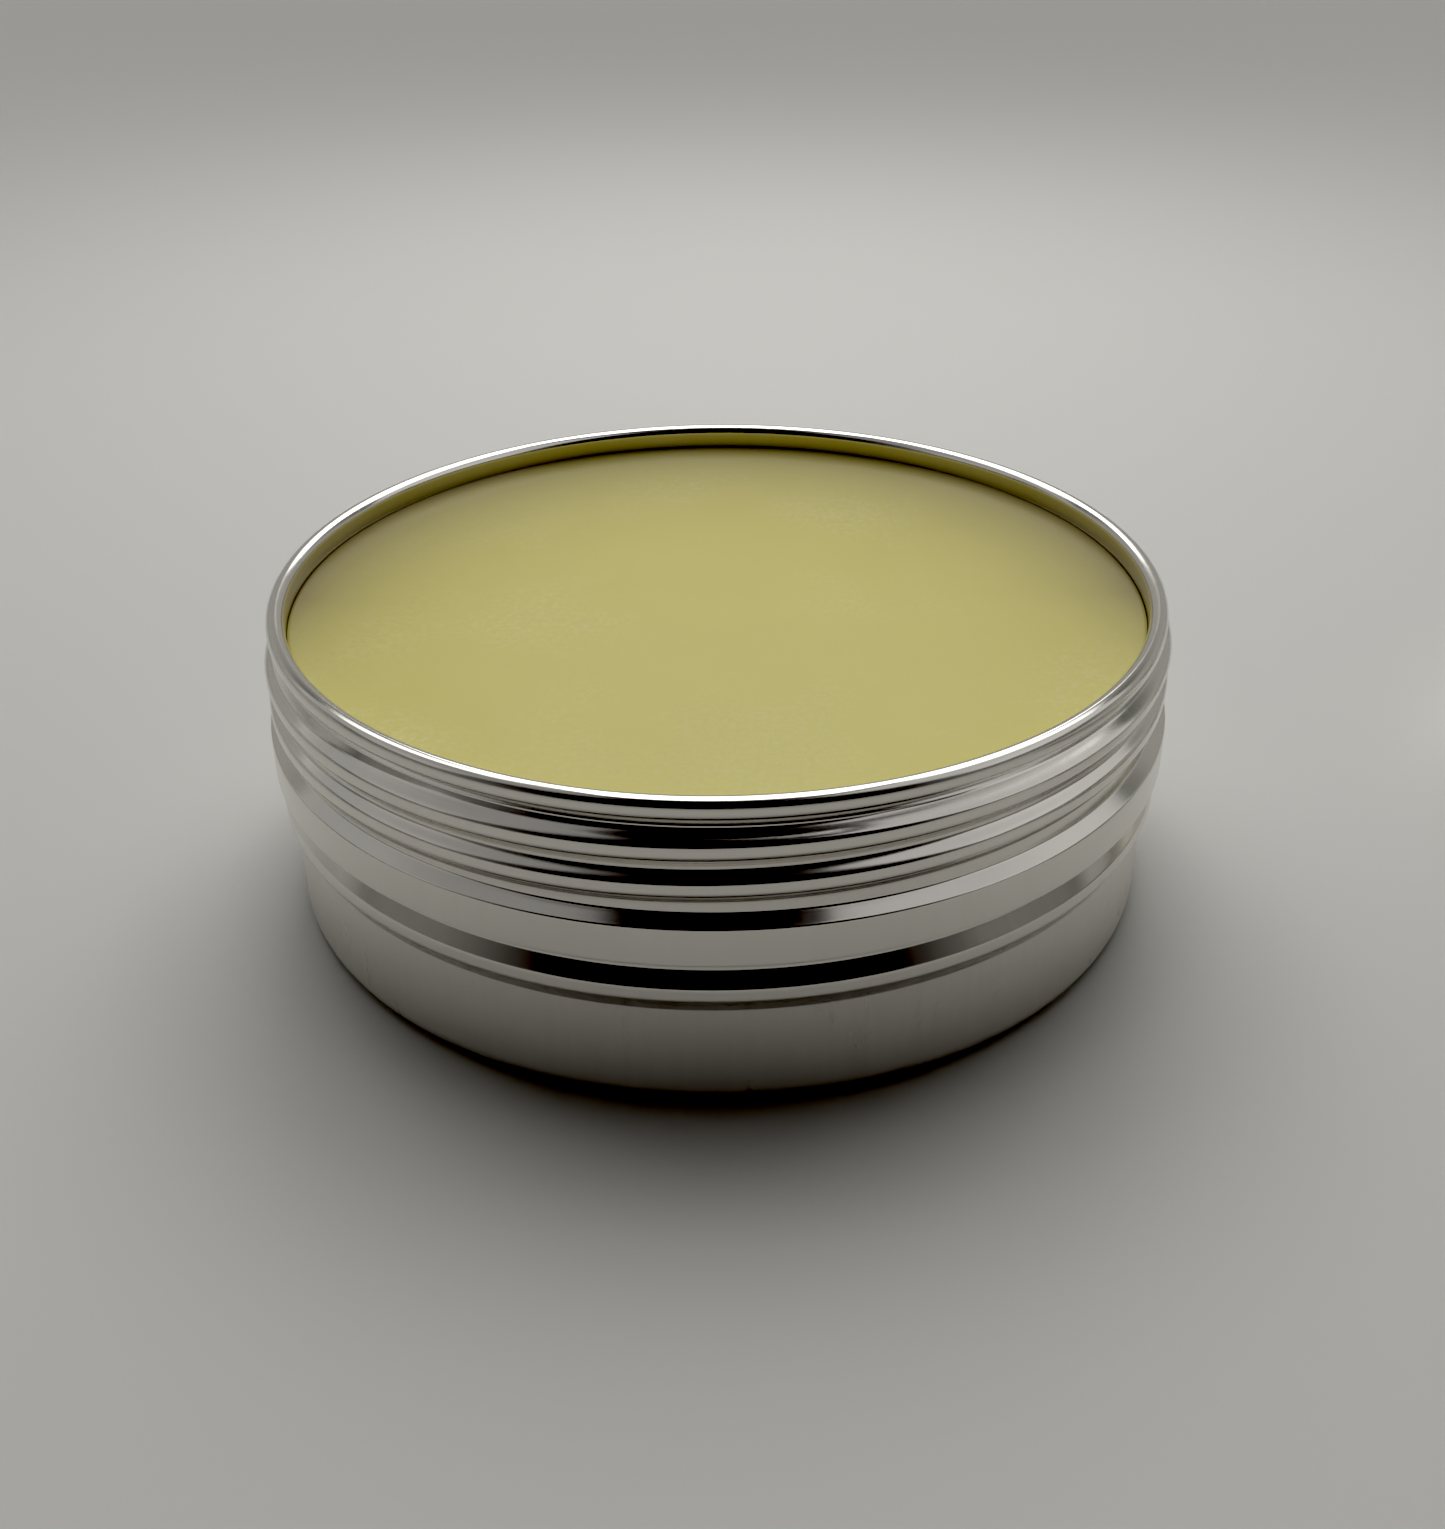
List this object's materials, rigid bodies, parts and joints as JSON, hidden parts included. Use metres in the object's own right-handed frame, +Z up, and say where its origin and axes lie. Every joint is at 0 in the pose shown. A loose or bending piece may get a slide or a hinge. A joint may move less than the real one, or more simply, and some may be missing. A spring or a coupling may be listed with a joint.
{
  "type": "shoe polish tin",
  "caption": "Round drawn aluminium tin with a rolled screw thread, filled with wax shoe polish, with its lined screw lid lying upside down beside it.",
  "frame": {"origin": "middle of the tin's flat base, on the surface it stands on", "axes": "+Z up along the tin's axis, +X towards the lid that lies beside the tin, -Y towards the viewer"},
  "size_m": [0.2026, 0.083, 0.0285],
  "materials": {
    "tin_aluminium": "bright, faintly brushed",
    "polish_wax": "waxy, matte",
    "lid_aluminium": "bright, faintly brushed",
    "liner_foam": "matte closed-cell foam"
  },
  "bodies": {
    "tin": {"tin_body": "tin_aluminium", "polish": "polish_wax"},
    "lid_inside": {"lid_liner": "liner_foam"},
    "lid_outside": {"lid_shell": "lid_aluminium"}
  },
  "joints": [
    {"name": "lid_over", "type": "hinge", "parent": "tin", "child": "lid_inside", "pos_m": [0.06, 0, 0.01525], "axis": [0, -1, 0], "range_deg": [0, 180]},
    {"name": "lid_turn", "type": "hinge", "parent": "lid_inside", "child": "lid_outside", "pos_m": [0.12, 0, 0], "axis": [0, 0, -1], "range_deg": [0, 60]}
  ]
}
